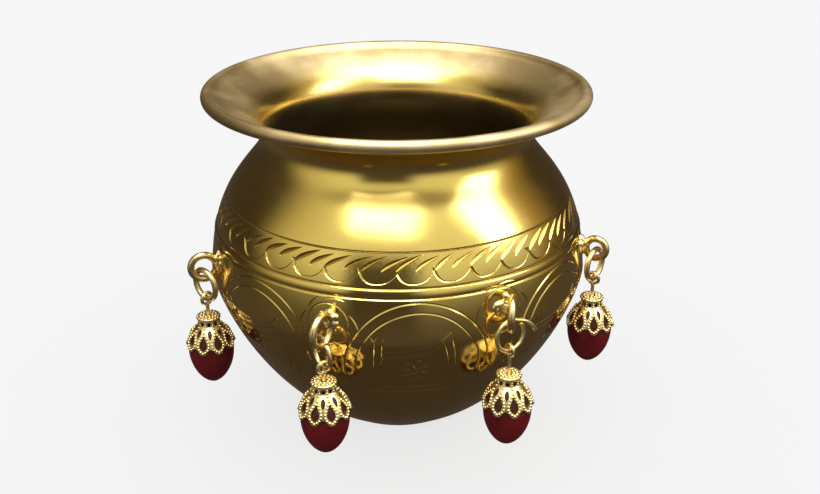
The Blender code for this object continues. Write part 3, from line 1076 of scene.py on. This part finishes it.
def cap_shape():
    """Pierced wall, granules round the petals, and the granulated disc on top."""
    shapes = [cap_wall()]
    pitch = 2 * pi / CAP_PETALS
    hole = PIN_RADIUS + 0.15 * MM
    puck = [
        (hole, -0.22 * MM), (0.9 * MM, -0.1 * MM), (2.3 * MM, -0.12 * MM), (2.6 * MM, -0.25 * MM),
        (CAP_DISC_RADIUS, -0.5 * MM), (2.6 * MM, -0.85 * MM), (2.2 * MM, -1.1 * MM), (hole, -1.0 * MM),
    ]
    shapes.append(turned(puck, 48, closed=True))
    granule_rings = ((18, 2.38, 0.5, 0.43), (14, 1.8, 0.2, 0.37), (8, 1.08, 0.16, 0.34))  # sizes in mm
    for count, reach, depth, radius in granule_rings:
        for k in range(count):
            a = 2 * pi * k / count
            centre = (reach * MM * sin(a), -reach * MM * cos(a), -depth * MM)
            shapes.append(ball(centre, radius * MM))
    for k in range(CAP_PETALS):
        for angle, depth in granules_round_petal(k * pitch):
            shapes.append(ball(on_cap(angle, depth, -0.07 * MM), 0.34 * MM, 6, 10))
        for i in range(3):
            shapes.append(ball(on_cap(k * pitch, (1.35 + 0.6 * i) * MM), 0.28 * MM, 5, 8))
    return join(shapes)


def cap_top(number):
    """Middle of the cap's top face, which is straight under the ring's wire."""
    pivot = drop_place(number)[0]
    return Vector((pivot.x, pivot.y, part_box(f"bead_cap_{number}")[1].z))


def build_eye_pin(number, material):
    """A straight pin whose upper end is bent round into an eye."""
    pivot, along = drop_place(number)
    up = Vector((0, 0, 1))
    side = along.cross(up)
    eye = ring_size(number)[1] + FIT_GAP + PIN_RADIUS
    turns = np.linspace(radians(-82), radians(262), 50)
    loop = [pivot + eye * (cos(a) * side + sin(a) * up) for a in turns[::-1]]
    start = loop[-1]
    down = cap_top(number) - PIN_FOOT * up
    foot = Vector((pivot.x, pivot.y, pivot.z - eye))
    straight = [foot + (down - foot) * t for t in np.linspace(0.06, 1, 16)]
    path = loop[:-1] + [start * 0.75 + straight[0] * 0.25] + straight
    radii = np.full(len(path), PIN_RADIUS)
    obj = link(f"eye_pin_{number}_wire", make_mesh("pin", sweep(path, radii, 14), sharp=50))
    obj.data.materials.append(material)
    return obj


# ---------------------------------------------------------------- camera and light


def add_camera():
    camera = bpy.data.objects.new("camera", bpy.data.cameras.new("camera"))
    bpy.context.scene.collection.objects.link(camera)
    camera.location = CAMERA_PLACE
    camera.rotation_euler = Euler([radians(turn) for turn in CAMERA_TURN])
    camera.data.sensor_width = 36
    camera.data.lens = CAMERA_LENS
    camera.data.clip_start = 0.01
    bpy.context.scene.camera = camera


def add_panel(name, azimuth, elevation, wide, tall, glow):
    """A soft panel of light, as wide and tall in degrees as the pot sees it, and as bright as glow."""
    centre = Vector(PANELS_AIM)
    data = bpy.data.lights.new(name, "AREA")
    data.shape = "RECTANGLE"
    data.size = 2 * PANEL_DISTANCE * tan(radians(wide / 2))
    data.size_y = 2 * PANEL_DISTANCE * tan(radians(tall / 2))
    data.energy = glow * pi * data.size * data.size_y
    lamp = link(name, data)
    level, rise = cos(radians(elevation)), sin(radians(elevation))
    lamp.location = centre + PANEL_DISTANCE * (outward(radians(azimuth)) * level + Vector((0, 0, rise)))
    lamp.rotation_euler = (centre - lamp.location).to_track_quat("-Z", "Y").to_euler()
    return lamp


def add_world():
    """The camera sees a pale backdrop and matt things a pale sky.

    Metal sees a dim room with a pale wall in front of it, which ends softly at the left and more slowly
    at the right, a dark figure that stands before the wall, and a ceiling that glows except at the back.
    """
    world = bpy.data.worlds.new("room")
    bpy.context.scene.world = world
    world.cycles.sampling_method = "NONE"
    n = Nodes(world)
    place = n.add("ShaderNodeTexCoord").outputs["Generated"]
    split = n.add("ShaderNodeSeparateXYZ", {"Vector": place})
    x, y, rise = (split.outputs[k] for k in "XYZ")
    azimuth = n.math("ARCTAN2", x, n.math("MULTIPLY", y, -1))

    def at_azimuth(*degrees):
        return n.fit(azimuth, radians(degrees[0]), radians(degrees[1]), *degrees[2:])

    def at_elevation(*degrees):
        return n.fit(rise, sin(radians(degrees[0])), sin(radians(degrees[1])), *degrees[2:])

    def both(a, b):
        return n.math("MULTIPLY", a, b)

    dim = n.mix(at_elevation(-80, -25), (0.050, 0.039, 0.038, 1), (0.082, 0.066, 0.064, 1))
    dim = n.mix(at_elevation(-20, 0), dim, (0.050, 0.038, 0.032, 1))
    ceiling = both(at_elevation(32, 56), n.fit(y, 0.40, 0.68, 1, 0))
    dim = n.mix(ceiling, dim, (0.50, 0.44, 0.33, 1))
    pale = n.mix(at_azimuth(-88, -40), (0.58, 0.53, 0.36, 1), (0.87, 0.86, 0.72, 1))
    pale = n.mix(at_azimuth(80, 105), pale, (0.55, 0.38, 0.12, 1))
    sides = both(at_azimuth(-104, -74), at_azimuth(86, 128, 1, 0))
    figure = both(both(at_azimuth(-37, -24), at_azimuth(4, 20, 1, 0)), at_elevation(20, 40, 1, 0))
    wall = both(both(sides, at_elevation(-22, 24)), n.math("SUBTRACT", 1.0, both(figure, 0.95)))
    room = n.add("ShaderNodeBackground", {"Color": n.mix(wall, dim, pale)})
    backdrop = n.add("ShaderNodeBackground", {"Color": (0.94, 0.94, 0.94, 1)})
    rays = n.add("ShaderNodeLightPath")
    choice = {0: rays.outputs["Is Glossy Ray"], 1: backdrop.outputs[0], 2: room.outputs[0]}
    mixed = n.add("ShaderNodeMixShader", choice)
    n.fill(n.tree.nodes["World Output"], {"Surface": mixed.outputs[0]})


def add_floor(lamps):
    """A pale floor that goes off into the backdrop. Only the sky lights it, so it takes no hard shadows."""
    work = bmesh.new()
    bmesh.ops.create_circle(work, cap_ends=True, segments=96, radius=1.6)
    mesh = bpy.data.meshes.new("floor")
    work.to_mesh(mesh)
    work.free()
    floor = link("floor", mesh)
    floor.location.z = -0.2 * MM
    mesh.materials.append(floor_paint())
    floor.visible_glossy = False
    unlit = bpy.data.collections.new("unlit_by_panels")
    unlit.objects.link(floor)
    unlit.collection_objects[0].light_linking.link_state = "EXCLUDE"
    for lamp in lamps:
        lamp.light_linking.receiver_collection = unlit


# ---------------------------------------------------------------- everything


def dress(piece, body, slot, *nodes):
    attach(piece, body)
    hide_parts(*nodes)


def main():
    add_camera()
    add_world()
    add_floor([add_panel(*panel) for panel in PANELS])

    brass = pot_brass()
    gilt = gilt_metal("gilt", (0.93, 0.77, 0.43, 1), (0.84, 0.64, 0.30, 1), 0.34)
    solder = gilt_metal("lug_gilt", (0.92, 0.73, 0.34, 1), (0.78, 0.55, 0.22, 1), 0.30)
    red = garnet()

    pot = build_bowl()
    pot.data.materials.append(brass)
    dress(pot, "pot", "brass", "bowl")

    bead = make_mesh("bead", bead_shape(), sharp=50)
    bead.materials.append(red)
    cap = make_mesh("cap", cap_shape(), sharp=45)
    cap.materials.append(gilt)
    for number in PENDANTS:
        ring_body, drop_body = f"ring_{number}", f"drop_{number}"
        dress(build_lug(number, solder), "pot", "gilt", f"lug_{number}")
        dress(build_jump_ring(number, gilt), ring_body, "gilt", f"jump_ring_{number}")
        dress(build_eye_pin(number, gilt), drop_body, "gilt", f"eye_pin_{number}")
        for mesh, name, slot in ((cap, "bead_cap", "gilt"), (bead, "bead", "garnet_glass")):
            piece = link(f"{name}_{number}_fine", mesh)
            piece.location = cap_top(number)
            piece.rotation_euler.z = FIRST_TURN + NEXT_TURN * number
            dress(piece, drop_body, slot, f"{name}_{number}")

    bpy.context.scene.view_settings.view_transform = "Standard"


main()
